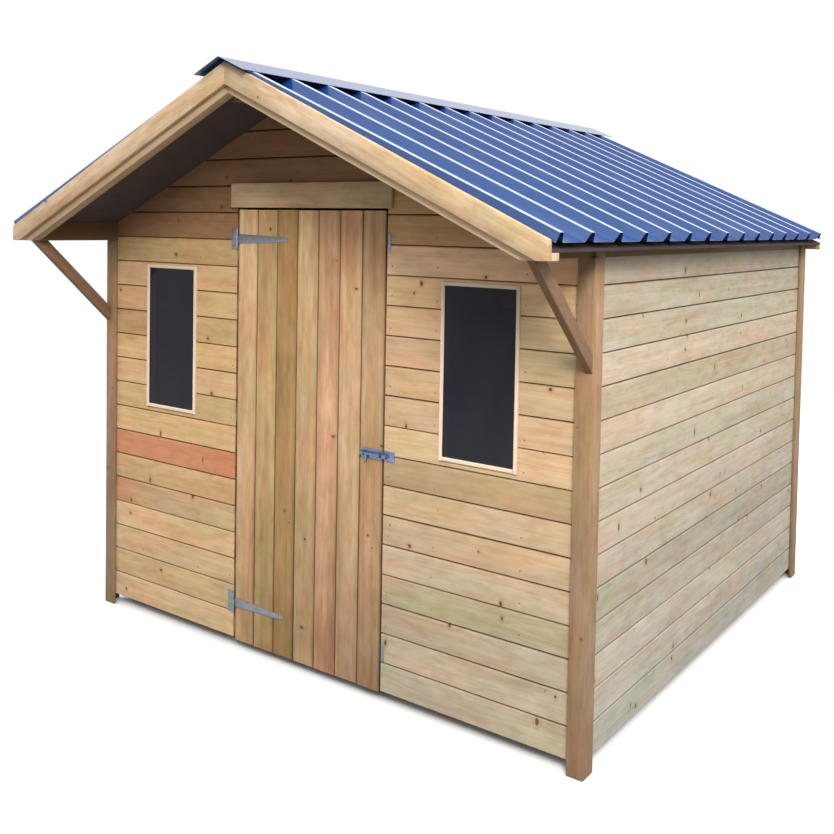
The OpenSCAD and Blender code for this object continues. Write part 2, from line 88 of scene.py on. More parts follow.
BRACE_TONES = [((134, 108, 88), 1)]
# painted shade: the dark tones of the beams under the roof
BEAM_PAINTED_SHADE_TONES = [((120, 92, 68), 1)]
# tones of the door's boards from left to right
DOOR_TONES = [
    (226, 194, 156), (210, 182, 138), (196, 162, 114), (226, 198, 158), (228, 186, 154),
    (220, 188, 154), (208, 176, 142),
]  # fmt: skip
RED_BOARD = (214, 150, 112)
# a place (x, z) on the red board and on the one with a red end, and where the gable begins
RED_BOARD_AT, RED_END_AT = (-0.9, 0.773), (-0.9, 0.549)
GABLE_FROM = 1.75
# painted light and shade: what a front board's red, green and blue are multiplied by, by place
GABLE_PAINTED_SHADE = (0.50, 0.38, 0.34)
EAVE_PAINTED_LIGHT = (1.15, 1.02, 0.98)
LEFT_PAINTED_LIGHT = (1.12, 1.04, 0.98)
RIGHT_PAINTED_LIGHT = (0.98, 1.02, 1.10)
# on the right, its painted shade towards the ground, and its share of painted light under the eave
LOW_PAINTED_SHADE = (0.16, 0.12, 0.06)
HIGH_PAINTED_LIGHT = (0.62, 0.42, 0.44)
# where each comes in, from and to, across (x) or up and down (z)
RED_END_ACROSS = (-0.98, -1.10)
EAVE_ACROSS, EAVE_DOWN = (0.36, 0.40), (2.05, 1.90)
LOW_DOWN, HIGH_UP = (0.95, 0.45), (1.45, 1.60)
# how light the door's boards are at some heights: painted shade low, painted light under the roof
DOOR_HEIGHTS, DOOR_PAINTED_LIGHT = (0.1, 0.9, 1.2, 1.7), (0.86, 1, 1, 1.2)


def draw_tone(tones, spread=0.04):
    """A linear tint drawn from weighted tones, a little lighter or darker."""
    r, g, b = rng.choices([t for t, _ in tones], [w for _, w in tones])[0]
    k = 1 + rng.uniform(-spread, spread)
    return srgb(*(min(255, max(0, c * k)) for c in (r, g, b)))


# ---------------------------------------------------------------- node trees


class Net:
    """The node tree of a material or a world, written as nested calls."""

    def __init__(self, owner):
        self.owner = owner
        owner.use_nodes = True
        self.tree = owner.node_tree
        self.tree.nodes.clear()

    def put(self, socket, value):
        if isinstance(value, bpy.types.NodeSocket):
            self.tree.links.new(value, socket)
        else:
            socket.default_value = value

    def node(self, kind, inputs=None, **props):
        made = self.tree.nodes.new("ShaderNode" + kind)
        for key, value in props.items():
            setattr(made, key, value)
        for key, value in (inputs or {}).items():
            self.put(made.inputs[key], value)
        return made

    def math(self, op, a, b=0.0, clamp=False):
        return self.node("Math", {0: a, 1: b}, operation=op, use_clamp=clamp).outputs[0]

    def vec(self, op, a, b=(0, 0, 0), out=0):
        return self.node("VectorMath", {0: a, 1: b}, operation=op).outputs[out]

    def mix(self, factor, a, b, blend="MIX"):
        made = self.node(
            "Mix", {0: factor, 6: a, 7: b}, data_type="RGBA", blend_type=blend
        )
        return made.outputs[2]

    def span(self, value, low, high, to_low=0.0, to_high=1.0, smooth=False):
        """value mapped from low..high to to_low..to_high, and held there."""
        return self.node(
            "MapRange",
            {0: value, 1: low, 2: high, 3: to_low, 4: to_high},
            interpolation_type="SMOOTHSTEP" if smooth else "LINEAR",
            clamp=True,
        ).outputs[0]

    def noise(self, vector, scale=1.0, detail=2.0, rough=0.5, out=0):
        return self.node(
            "TexNoise",
            {"Vector": vector, "Scale": scale, "Detail": detail, "Roughness": rough},
        ).outputs[out]

    def split(self, vector):
        return self.node("SeparateXYZ", {0: vector}).outputs

    def join(self, x, y, z):
        return self.node("CombineXYZ", {0: x, 1: y, 2: z}).outputs[0]

    def bump(self, height, strength, distance):
        return self.node(
            "Bump", {"Height": height, "Strength": strength, "Distance": distance}
        ).outputs[0]

    def finish(self, **inputs):
        """Principled on the output; underscores in a name stand for spaces."""
        shader = self.node(
            "BsdfPrincipled", {k.replace("_", " "): v for k, v in inputs.items()}
        )
        self.node("OutputMaterial", {0: shader.outputs[0]})
        return self.owner

    def seen(self):
        """1 on the rays that show the studio: to the camera, in a mirror or through glass."""
        path = self.node("LightPath").outputs
        either = self.math("MAXIMUM", path["Is Camera Ray"], path["Is Glossy Ray"])
        return self.math("MAXIMUM", either, path["Is Transmission Ray"])


def rgba(colour):
    return (*colour, 1.0)


def wood(
    name,
    ring=0.4,
    streak=0.5,
    knots=0.62,
    patch=0.5,
    stain=0.3,
    low_darkening=0.0,
    low_darkening_tone=(0.72, 0.80, 0.92),
):
    """Softwood, from each board's own grain coordinates and tint.

    ring and streak are how strong the growth rings and the streaks are, knots the share of
    cells without one, patch how far the hue wanders along a board, stain the brown patches,
    and the last two how much darker the boards turn near the ground, and towards what tone.
    """
    n = Net(bpy.data.materials.new(name))
    grain = n.node("Attribute", attribute_name="grain").outputs["Vector"]
    tint = n.node("Attribute", attribute_name="tint")
    dirt_and_shade = tint.outputs["Alpha"]

    # knots: one to a cell, round or oval in metres
    cell = (0.36, 0.085)
    u, v, _ = n.split(grain)
    place = n.join(n.math("DIVIDE", u, cell[0]), n.math("DIVIDE", v, cell[1]), 0.0)
    spots = n.node("TexVoronoi", {"Vector": place, "Scale": 1.0}, voronoi_dimensions="2D")
    size, dark, oval = n.split(spots.outputs["Color"])
    off = n.vec("MULTIPLY", n.vec("SUBTRACT", place, spots.outputs["Position"]), (*cell, 0))
    off_u, off_v, _ = n.split(off)
    off_v = n.math("MULTIPLY", off_v, n.span(oval, 0.5, 1.0, 1.0, 0.45))
    far = n.vec("LENGTH", n.join(off_u, off_v, 0.0), out="Value")
    rim = n.math("MULTIPLY", n.noise(grain, 90, 1), 0.35)
    far = n.math("MULTIPLY", far, n.math("ADD", rim, 0.82))
    radius = n.math("MULTIPLY", n.math("MAXIMUM", n.math("SUBTRACT", size, knots), 0.0), 0.026)
    core = n.span(far, radius, n.math("MULTIPLY", radius, 0.55), smooth=True)
    halo = n.span(far, n.math("MULTIPLY", radius, 2.6), radius, smooth=True)

    # growth rings about a pith outside the board; they bend round the knots
    wander = n.noise(n.vec("MULTIPLY", grain, (1.1, 4, 4)), 1, 1, out=1)
    wander = n.vec("MULTIPLY", n.vec("SUBTRACT", wander, (0.5, 0.5, 0.5)), (0, 0.045, 0.045))
    bent = n.vec("MULTIPLY", n.vec("ADD", grain, wander), (0, 1, 1))
    from_pith = n.vec("LENGTH", bent, out="Value")
    from_pith = n.math("ADD", from_pith, n.math("MULTIPLY", n.math("MULTIPLY", halo, radius), 1.6))
    ring_width = 0.0062
    phase = n.math("FRACT", n.math("DIVIDE", from_pith, ring_width))
    late = n.math("POWER", phase, 3.0)
    late = n.math("MULTIPLY", late, n.span(phase, 1.0, 0.9))
    late = n.math("MULTIPLY", late, n.noise(n.vec("MULTIPLY", grain, (0.9, 14, 14)), 1, 1))

    streaks = n.noise(n.vec("MULTIPLY", grain, (1.3, 42, 42)), 1, 3, 0.6)
    streaks = n.span(streaks, 0.36, 0.68)
    fibre = n.noise(n.vec("MULTIPLY", grain, (9, 520, 520)), 1, 2)
    tones = n.noise(n.vec("MULTIPLY", grain, (2.6, 9, 9)), 1, 3, out=1)
    mottle = n.noise(n.vec("MULTIPLY", grain, (11, 34, 34)), 1, 4, 0.6)
    warm, green, pale = n.split(tones)
    stains = n.noise(n.vec("MULTIPLY", grain, (1.7, 13, 13)), 1, 3, 0.55)

    colour = tint.outputs["Color"]
    colour = n.mix(n.span(stains, 0.48, 0.74, 0, stain), colour, (0.66, 0.52, 0.40, 1), "MULTIPLY")
    colour = n.mix(n.span(warm, 0.48, 0.66, 0, patch), colour, (1.05, 0.88, 0.80, 1), "MULTIPLY")
    colour = n.mix(n.span(green, 0.48, 0.66, 0, patch), colour, (0.88, 0.97, 0.84, 1), "MULTIPLY")
    colour = n.mix(n.span(pale, 0.5, 0.7, 0, patch), colour, (1.12, 1.10, 1.08, 1), "MULTIPLY")
    colour = n.mix(n.span(mottle, 0.42, 0.7, 0, patch), colour, (0.78, 0.72, 0.64, 1), "MULTIPLY")
    colour = n.mix(n.math("MULTIPLY", late, ring * 2), colour, (0.66, 0.50, 0.34, 1), "MULTIPLY")
    colour = n.mix(n.math("MULTIPLY", streaks, streak), colour, (0.80, 0.70, 0.58, 1), "MULTIPLY")
    colour = n.mix(n.math("MULTIPLY", fibre, 0.25), colour, (0.82, 0.78, 0.72, 1), "MULTIPLY")
    colour = n.mix(n.math("MULTIPLY", halo, 0.35), colour, (0.72, 0.50, 0.34, 1), "MULTIPLY")
    knot = n.mix(dark, rgba(srgb(92, 56, 36)), rgba(srgb(52, 32, 24)))
    colour = n.mix(n.math("MULTIPLY", core, 0.85), colour, knot)
    # darker near the ground, in uneven clouds
    if low_darkening:
        height = n.split(n.node("TexCoord").outputs["Object"])[2]
        cloud = n.noise(n.node("TexCoord").outputs["Object"], 5, 3)
        low = n.math("MULTIPLY", n.span(height, 1.1, 0.1), n.span(cloud, 0.3, 0.7, 0.5, 1.0))
        colour = n.mix(n.math("MULTIPLY", low, low_darkening), colour, (*low_darkening_tone, 1), "MULTIPLY")
    # dirt and painted shade in the joints and hollows of the boards
    colour = n.mix(n.math("MULTIPLY", dirt_and_shade, 0.92), colour, (0.16, 0.10, 0.06, 1), "MULTIPLY")

    height = n.math("MULTIPLY", streaks, -0.35)
    height = n.math("SUBTRACT", height, n.math("MULTIPLY", fibre, 0.5))
    height = n.math("ADD", height, n.math("MULTIPLY", late, 0.4))
    height = n.math("SUBTRACT", height, n.math("MULTIPLY", core, 0.5))
    gloss = n.math("SUBTRACT", 0.86, n.math("MULTIPLY", streaks, 0.14))
    gloss = n.math("SUBTRACT", gloss, n.math("MULTIPLY", core, 0.12))
    return n.finish(
        Base_Color=colour,
        Roughness=gloss,
        Specular_IOR_Level=0.28,
        Normal=n.bump(height, 0.35, 0.0012),
    )


def steel_paint(name, colour):
    """Coated steel, glossy, with dust streaks down the slope and a painted highlight on rib tops.
    """
    n = Net(bpy.data.materials.new(name))
    place = n.node("TexCoord").outputs["Object"]
    crest = n.node("Attribute", attribute_name="crest").outputs["Fac"]
    dust = n.noise(n.vec("MULTIPLY", place, (2.2, 26, 2.2)), 1, 3, 0.6)
    cloud = n.noise(place, 2.6, 3, 0.55)
    speck = n.noise(place, 160, 2)
    base = n.mix(n.span(cloud, 0.35, 0.7, 0, 0.3), rgba(colour), (1.30, 1.22, 1.12, 1), "MULTIPLY")
    # a painted highlight: the rib tops paler
    base = n.mix(n.math("MULTIPLY", crest, 0.75), base, rgba(srgb(186, 202, 230)))
    base = n.mix(n.span(dust, 0.5, 0.8, 0, 0.07), base, rgba(srgb(150, 164, 190)))
    base = n.mix(n.span(speck, 0.66, 0.78, 0, 0.2), base, rgba(srgb(130, 138, 152)))
    gloss = n.math("ADD", n.math("MULTIPLY", cloud, 0.12), n.math("MULTIPLY", dust, 0.12))
    wave = n.noise(n.vec("MULTIPLY", place, (3, 9, 3)), 1, 1)
    return n.finish(
        Base_Color=base,
        Roughness=n.math("ADD", gloss, 0.16),
        Specular_IOR_Level=0.6,
        Coat_Weight=0.6,
        Coat_Roughness=0.05,
        Normal=n.bump(wave, 0.15, 0.003),
    )


def zinc(name, colour, dull=0.0):
    """Galvanised or plated iron with crystals, dull patches and a few rust specks."""
    n = Net(bpy.data.materials.new(name))
    place = n.node("TexCoord").outputs["Object"]
    crystal = n.node("TexVoronoi", {"Vector": place, "Scale": 210.0})
    shine = n.split(crystal.outputs["Color"])[0]
    cloud = n.noise(place, 34, 3, 0.6)
    speck = n.noise(place, 420, 2)
    base = n.mix(n.math("MULTIPLY", shine, 0.35), rgba(colour), (0.72, 0.76, 0.80, 1), "MULTIPLY")
    base = n.mix(n.span(cloud, 0.45, 0.75, 0, 0.35), base, (0.62, 0.62, 0.60, 1), "MULTIPLY")
    base = n.mix(n.span(speck, 0.70, 0.78, 0, 0.5), base, rgba(srgb(120, 84, 60)))
    gloss = n.math("ADD", n.math("MULTIPLY", cloud, 0.25), n.math("MULTIPLY", shine, 0.12))
    return n.finish(
        Base_Color=base,
        Metallic=0.85,
        Roughness=n.math("ADD", gloss, 0.26 + dull),
        Normal=n.bump(n.math("ADD", cloud, n.math("MULTIPLY", speck, 0.4)), 0.2, 0.0006),
    )


def pane(name):
    """Window glass, dark with painted shade of the room behind it, with faint smears."""
    n = Net(bpy.data.materials.new(name))
    place = n.node("TexCoord").outputs["Object"]
    smear = n.noise(n.vec("MULTIPLY", place, (9, 9, 3)), 1, 3, 0.6)
    cloud = n.noise(place, 1.8, 2)
    # painted shade: the dark blue-black stands for the shaded room behind the glass
    tint = n.mix(n.span(cloud, 0.4, 0.6), rgba(srgb(16, 18, 40)), rgba(srgb(29, 30, 38)))
    tint = n.mix(n.span(smear, 0.4, 0.75, 0, 0.4), tint, rgba(srgb(44, 47, 60)))
    return n.finish(
        Base_Color=tint,
        Roughness=n.span(smear, 0.3, 0.8, 0.03, 0.10),
        Specular_IOR_Level=0.22,
        Alpha=0.72,
        Normal=n.bump(n.noise(place, 2.2, 1), 0.05, 0.004),
    )


def lining(name, colour):
    """The dark boards under the steel, with a soft mottle and water marks."""
    n = Net(bpy.data.materials.new(name))
    place = n.node("TexCoord").outputs["Object"]
    cloud = n.noise(place, 3.2, 4, 0.6)
    fleck = n.noise(n.vec("MULTIPLY", place, (60, 12, 60)), 1, 3)
    base = n.mix(n.span(cloud, 0.3, 0.7), rgba(colour), (0.74, 0.70, 0.70, 1), "MULTIPLY")
    base = n.mix(n.span(fleck, 0.45, 0.7, 0, 0.5), base, (0.78, 0.74, 0.72, 1), "MULTIPLY")
    return n.finish(
        Base_Color=base,
        Roughness=n.span(cloud, 0.3, 0.7, 0.72, 0.9),
        Specular_IOR_Level=0.25,
        Normal=n.bump(fleck, 0.3, 0.001),
    )


WALL = wood("board_wood", ring=0.30, streak=0.50, knots=0.62, patch=0.65, stain=0.24, low_darkening=1.0)
DOOR = wood(
    "door_wood",
    ring=0.3,
    streak=0.7,
    knots=0.72,
    patch=0.8,
    stain=0.6,
    low_darkening=1.0,
    low_darkening_tone=(0.60, 0.58, 0.56),
)
TRIM = wood("trim_wood", ring=0.3, streak=0.55, knots=0.72, patch=0.8, stain=0.45, low_darkening=0.6)
BARGE = wood("barge_wood", ring=0.3, streak=0.5, knots=0.60, patch=1.0, stain=0.5)
FRAMING = wood("frame_wood", ring=0.35, streak=0.4, knots=0.66, patch=0.4)
PALE = wood("pale_wood", ring=0.12, streak=0.20, knots=0.95, patch=0.25, stain=0.15)
FLOOR = wood("floor_wood", ring=0.35, streak=0.5, knots=0.66, patch=0.4)
TREATED = wood("treated_wood", ring=0.3, streak=0.5, knots=0.66, patch=0.4, low_darkening=0.7)
BLUE = steel_paint("blue_coated_steel", srgb(13, 57, 115))
ZINC = zinc("galvanised_iron", srgb(130, 136, 142), dull=0.06)
BRIGHT = zinc("plated_iron", srgb(112, 132, 164))
NAIL = zinc("nail_iron", srgb(96, 88, 82), dull=0.2)
GLASS = pane("dark_pane")
LINING = lining("soffit_board", srgb(66, 56, 54))

# ---------------------------------------------------------------- meshes


def show(name, mesh, material, body, slot, *nodes):
    """Puts a mesh in the scene as a piece that rides on body and stands for nodes."""
    obj = bpy.data.objects.new(name, mesh)
    scene.collection.objects.link(obj)
    if not mesh.materials:
        mesh.materials.append(material)
    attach(obj, body)
    if nodes:
        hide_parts(*nodes)


def to_mesh(bm, name):
    """The bmesh as a mesh with its faces turned outwards."""
    bmesh.ops.recalc_face_normals(bm, faces=bm.faces)
    mesh = bpy.data.meshes.new(name)
    bm.to_mesh(mesh)
    bm.free()
    return mesh


def soften(mesh, degrees=32):
    """Smooth shading, with edges over an angle left sharp."""
    mesh.polygons.foreach_set("use_smooth", [True] * len(mesh.polygons))
    mesh.set_sharp_from_angle(angle=math.radians(degrees))


def sweep(bm, outline, us, place, shift=None):
    """A solid that carries an outline of (v, w) along us; shift moves a point at one of them."""
    rings = []
    for i, u in enumerate(us):
        ring = []
        for v, w in outline:
            dv, dw = shift(i, v, w) if shift else (0, 0)
            ring.append(bm.verts.new(place(u, v + dv, w + dw)))
        rings.append(ring)
    for a, b in zip(rings, rings[1:]):
        for i in range(len(outline)):
            j = (i + 1) % len(outline)
            bm.faces.new((a[i], a[j], b[j], b[i]))
    bm.faces.new(rings[0])
    bm.faces.new(rings[-1][::-1])


def prism(bm, outline, low, high, place):
    """A solid from an outline of (a, b) between two depths; place takes (a, b, depth)."""
    ends = [[bm.verts.new(place(a, b, d)) for a, b in outline] for d in (low, high)]
    for i in range(len(outline)):
        j = (i + 1) % len(outline)
        bm.faces.new((ends[0][i], ends[0][j], ends[1][j], ends[1][i]))
    bm.faces.new(ends[0][::-1])
    bm.faces.new(ends[1])


def box(bm, low, high):
    """A block between two corners."""
    outline = [(low[0], low[1]), (high[0], low[1]), (high[0], high[1]), (low[0], high[1])]
    prism(bm, outline, low[2], high[2], lambda a, b, d: (a, b, d))


def carve(mesh, cutter_bm):
    """The mesh with the cutter's solids taken away."""
    target = bpy.data.objects.new("carve_target", mesh)
    cutter = bpy.data.objects.new("carve_cutter", to_mesh(cutter_bm, "carve_cutter"))
    for o in (target, cutter):
        scene.collection.objects.link(o)
    step = target.modifiers.new("cut", "BOOLEAN")
    step.operation, step.solver, step.object = "DIFFERENCE", "EXACT", cutter
    bpy.context.view_layer.update()
    done = bpy.data.meshes.new_from_object(
        target.evaluated_get(bpy.context.evaluated_depsgraph_get())
    )
    for o in (target, cutter):
        data = o.data
        bpy.data.objects.remove(o)
        bpy.data.meshes.remove(data)
    return done


def islands(mesh):
    """The separate solids of a mesh, each as an array of its vertices' numbers."""
    parent = list(range(len(mesh.vertices)))

    def first_of(a):
        while parent[a] != a:
            parent[a] = parent[parent[a]]
            a = parent[a]
        return a

    for e in mesh.edges:
        a, b = first_of(e.vertices[0]), first_of(e.vertices[1])
        if a != b:
            parent[max(a, b)] = min(a, b)
    groups = {}
    for i in range(len(parent)):
        groups.setdefault(first_of(i), []).append(i)
    return [np.array(groups[k]) for k in sorted(groups)]


def grained(mesh, axes_of, tone_of, dirt_and_shade_of=None):
    """Gives each solid its own grain coordinates and tint.

    axes_of(points) returns the directions along, across and out of a solid; tone_of(points)
    its linear tint; dirt_and_shade_of(points) the dirt and painted shade at each point, from 0 to
    1.
    """
    co = np.zeros(len(mesh.vertices) * 3)
    mesh.vertices.foreach_get("co", co)
    co = co.reshape(-1, 3)
    grain = np.zeros_like(co)
    tint = np.ones((len(co), 4))
    tint[:, 3] = 0
    for own in islands(mesh):
        points = co[own]
        axes = np.array(axes_of(points), float)
        local = (points - points.mean(0)) @ axes.T
        local[:, 0] += rng.uniform(1, 60)
        local[:, 1] += rng.uniform(-0.05, 0.05)
        local[:, 2] += rng.choice((-1, 1)) * rng.uniform(0.03, 0.09)
        grain[own] = local
        tint[own, :3] = tone_of(points)
        if dirt_and_shade_of:
            tint[own, 3] = dirt_and_shade_of(points)
    mesh.attributes.new("grain", "FLOAT_VECTOR", "POINT").data.foreach_set(
        "vector", grain.astype(np.float32).ravel()
    )
    mesh.attributes.new("tint", "FLOAT_COLOR", "POINT").data.foreach_set(
        "color", tint.astype(np.float32).ravel()
    )


def clean_solids(node):
    """A bmesh of a CAD node with its triangles joined up into flat faces."""
    bm = bmesh.new()
    bm.from_mesh(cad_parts[node].data)
    bmesh.ops.remove_doubles(bm, verts=bm.verts, dist=2e-5)
    bmesh.ops.dissolve_limit(
        bm, angle_limit=math.radians(1), verts=bm.verts, edges=bm.edges
    )
    return bm


def ease(bm, size, segments=2, from_deg=25):
    """Rounds a solid's sharp edges."""
    sharp = [
        e
        for e in bm.edges
        if e.is_manifold and e.calc_face_angle(0) > math.radians(from_deg)
    ]
    bmesh.ops.bevel(
        bm,
        geom=sharp,
        offset=size,
        segments=segments,
        affect="EDGES",
        profile=0.5,
        clamp_overlap=True,
    )


def timber(node, tones, material, slot, body="root", size=2 * MM):
    """A CAD node's timbers with eased edges and grain along each one."""
    bm = clean_solids(node)
    edges = [(e.verts[0].co.copy(), e.verts[1].co.copy()) for e in bm.edges]
    normals = [(f.calc_center_median(), f.normal.copy(), f.calc_area()) for f in bm.faces]
    ease(bm, size)
    mesh = to_mesh(bm, node + "_timber")
    soften(mesh)

    def axes_of(points):
        low, high = points.min(0) - 1 * MM, points.max(0) + 1 * MM

        def inside(p):
            return all(low[i] <= p[i] <= high[i] for i in range(3))

        own = [(b - a) for a, b in edges if inside(a) and inside(b)]
        along = max(own, key=lambda d: round(d.length, 5)).normalized()
        flat = [
            (area, n) for c, n, area in normals if inside(c) and abs(n.dot(along)) < 0.2
        ]
        out = max(flat, key=lambda f: round(f[0], 7))[1].normalized()
        return along, out.cross(along), out

    grained(mesh, axes_of, lambda points: draw_tone(tones(points) if callable(tones) else tones))
    show(node + "_timber", mesh, material, body, slot, node)


# ---------------------------------------------------------------- boarding

COVER = 112 * MM
STATION_GAP = 0.15
FIT = 0.3 * MM
# past the building to the side, above and through a wall
FAR_X, FAR_Z, REACH = 1.5, 3.0, 0.3
# a shiplap board in mm, across (v) and out of the wall (w): lip, face, cove and tongue
LAP = [
    (9.0, -15), (9.0, -8.8), (0.6, -8.8), (0.6, -1.3), (1.9, 0), (103.0, 0), (105.2, -0.8),
    (107.6, -2.6), (109.6, -5.2), (111.0, -8.2), (111.2, -9.0), (119.6, -9.0), (119.6, -15),
]  # fmt: skip


def stations(low, high):
    """Evenly spaced places from low to high."""
    count = max(2, round((high - low) / STATION_GAP) + 1)
    return [low + (high - low) * i / (count - 1) for i in range(count)]


def wavy(count, size):
    """A slow random walk that stays within size."""
    value, out = rng.uniform(-size, size) * 0.6, []
    for _ in range(count):
        value = max(-size, min(size, value + rng.uniform(-size, size) * 0.5))
        out.append(value)
    return out


def lap_boards(bm, low_u, high_u, foot, top, place):
    """Rows of shiplap boards, with edges that aren't quite straight."""
    rows = math.ceil((top - foot) / COVER - 1e-6)
    outline = [(v * MM, w * MM) for v, w in LAP]
    for row in range(rows):
        us = stations(low_u, high_u)
        lip = wavy(len(us), 0.8 * MM)
        cup = [abs(d) for d in wavy(len(us), 0.8 * MM)]
        base = foot + row * COVER

        def shift(i, v, w):
            if w < -8 * MM:
                return 0, 0
            near_lip = 1.0 if v < 3 * MM else -0.4
            return lip[i] * near_lip, -cup[i] * (1 if v < 50 * MM else 0.4)

        sweep(bm, outline, us, lambda u, v, w: place(u, base + v, w), shift)


def lap_axes(along, out):
    """Grain axes of boards that lie one above the other."""
    return lambda points: (along, Z, out)


def groove_dirt_and_shade(face_at):
    """Dirt and painted shade in the joints, by the depth behind the face."""

    def dirt_and_shade(points):
        depth = face_at(points)
        return np.where(depth < -11 * MM, 0.0, np.clip((-depth - 0.3 * MM) / (4.5 * MM), 0, 1))

    return dirt_and_shade


wall_low, wall_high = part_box("front_wall_right")
gable_low, gable_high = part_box("front_gable")
_, rear_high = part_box("rear_wall")
side_low, side_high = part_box("right_wall")
beam_low, beam_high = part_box("eave_beam_right")
ridge_low, ridge_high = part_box("ridge_beam")
front_face = wall_low.y
rear_face = rear_high.y
foot = wall_low.z
half_w = wall_high.x
opening = wall_low.x
opening_top = gable_low.z
frame_low, frame_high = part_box("window_frame_right")
slope = (rear_high.z - beam_high.z) / half_w


def roof_under(x):
    """Height of the roof boards' underside, less a clearance."""
    return rear_high.z - abs(x) * slope


def holds(points, x, z):
    """Whether a board's face lies over a place."""
    low, high = points.min(0), points.max(0)
    return low[0] <= x <= high[0] and low[2] + 8 * MM <= z <= high[2] - 8 * MM


def ramp(value, start, end):
    """How far a value has come from start to end, from 0 to 1."""
    return np.clip((value - start) / (end - start), 0, 1)


def front_tone(points):
    """The front boards: one red board, one with a red end, and the rest with painted light and
    shade by place.
    """
    tone = np.array(draw_tone(FRONT_TONES))
    red = np.array(srgb(*RED_BOARD))
    x, z = points[:, :1], points[:, 2:]
    centre = points.mean(0)
    if holds(points, *RED_BOARD_AT):
        return red
    if holds(points, *RED_END_AT):
        share = np.minimum(ramp(x, *RED_END_ACROSS), 0.8)
        return tone * (1 - share) + red * share
    # painted shade over the gable, with painted light under the eave on the right
    if centre[2] > GABLE_FROM:
        eave = ramp(x, *EAVE_ACROSS) * ramp(z, *EAVE_DOWN)
        return tone * ((1 - eave) * GABLE_PAINTED_SHADE + eave * EAVE_PAINTED_LIGHT)
    # painted light: the boards left of the doorway lighter and warmer
    if centre[0] < opening:
        return tone * LEFT_PAINTED_LIGHT
    # on the right: painted light, with painted shade towards the ground and painted light under
    # the eave
    low, high = ramp(z, *LOW_DOWN), ramp(z, *HIGH_UP)
    return tone * (RIGHT_PAINTED_LIGHT - low * LOW_PAINTED_SHADE) * (1 + high * HIGH_PAINTED_LIGHT)


# front
bm = bmesh.new()
lap_boards(bm, -half_w, half_w, foot, gable_high.z, lambda u, v, w: (u, front_face - w, v))
mesh = to_mesh(bm, "front_boards")
cut = bmesh.new()
box(cut, (-opening, front_face - REACH, 0), (opening, front_face + REACH, opening_top))
for side in (-1, 1):
    a, b = sorted((side * (frame_low.x - FIT), side * (frame_high.x + FIT)))
    box(
        cut,
        (a, front_face - REACH, frame_low.z - FIT),
        (b, front_face + REACH, frame_high.z + FIT),
    )
notch = beam_low.x - FIT
slot_x = ridge_high.x + FIT
slot_z = ridge_low.z - FIT
side_top = side_high.z
above = [
    (FAR_X, side_top), (FAR_X, FAR_Z), (-FAR_X, FAR_Z), (-FAR_X, side_top), (-notch, side_top),
    (-notch, roof_under(notch)), (-slot_x, roof_under(slot_x)), (-slot_x, slot_z),
    (slot_x, slot_z), (slot_x, roof_under(slot_x)), (notch, roof_under(notch)), (notch, side_top),
]  # fmt: skip
prism(cut, above, front_face - REACH, front_face + REACH, lambda a, b, d: (a, d, b))
mesh = carve(mesh, cut)
grained(
    mesh,
    lap_axes(X, -Y),
    front_tone,
    groove_dirt_and_shade(lambda p: front_face - p[:, 1]),
)
show(
    "front_boards", mesh, WALL, "root", "board_timber",
    "front_wall_left", "front_wall_right", "front_gable",
)  # fmt: skip

# rear
bm = bmesh.new()
lap_boards(bm, -half_w, half_w, foot, rear_high.z, lambda u, v, w: (u, rear_face + w, v))
mesh = to_mesh(bm, "rear_boards")
cut = bmesh.new()
above = [
    (FAR_X, roof_under(FAR_X)), (FAR_X, FAR_Z), (-FAR_X, FAR_Z), (-FAR_X, roof_under(FAR_X)),
    (0, roof_under(0)),
]  # fmt: skip
prism(cut, above, rear_face - REACH, rear_face + REACH, lambda a, b, d: (a, d, b))
mesh = carve(mesh, cut)
grained(
    mesh,
    lap_axes(X, Y),
    lambda points: draw_tone(SIDE_TONES),
    groove_dirt_and_shade(lambda p: p[:, 1] - rear_face),
)
show("rear_boards", mesh, WALL, "root", "board_timber", "rear_wall")

# sides
for side, node in ((1, "right_wall"), (-1, "left_wall")):
    bm = bmesh.new()
    lap_boards(
        bm,
        side_low.y,
        side_high.y,
        foot,
        side_top,
        lambda u, v, w: (side * (half_w + w), u, v),
    )
    mesh = to_mesh(bm, node)
    cut = bmesh.new()
    box(cut, (-FAR_X, -FAR_Z, side_top), (FAR_X, FAR_Z, FAR_Z))
    mesh = carve(mesh, cut)
    grained(
        mesh,
        lap_axes(Y, X * side),
        lambda points: draw_tone(SIDE_TONES),
        groove_dirt_and_shade(lambda p: side * p[:, 0] - half_w),
    )
    show(node.replace("wall", "boards"), mesh, WALL, "root", "board_timber", node)


def tongued(width, thick, chamfer, first, last):
    """A tongued and grooved board in mm, across (v) and out (w), as an outline in metres."""
    edge, gap, soft = 0.7, 0.3, 10
    groove, tongue = edge + 3.6, width + 3.0
    end = width - edge
    deep, thin = thick * 0.38, thick * 0.69
    left = [(edge, -thick)]
    if not first:
        low, high = -thin - gap, -deep + gap
        left += [(edge, low), (groove, low), (groove, high), (edge, high)]
    left += [(edge, -chamfer), (edge + chamfer, 0), (edge + chamfer + soft, 0)]
    right = [(end - chamfer - soft, 0), (end - chamfer, 0), (end, -chamfer)]
    if not last:
        right += [(end, -deep), (tongue, -deep), (tongue, -thin), (end, -thin)]
    right += [(end, -thick)]
    return [(v * MM, w * MM) for v, w in left + right]


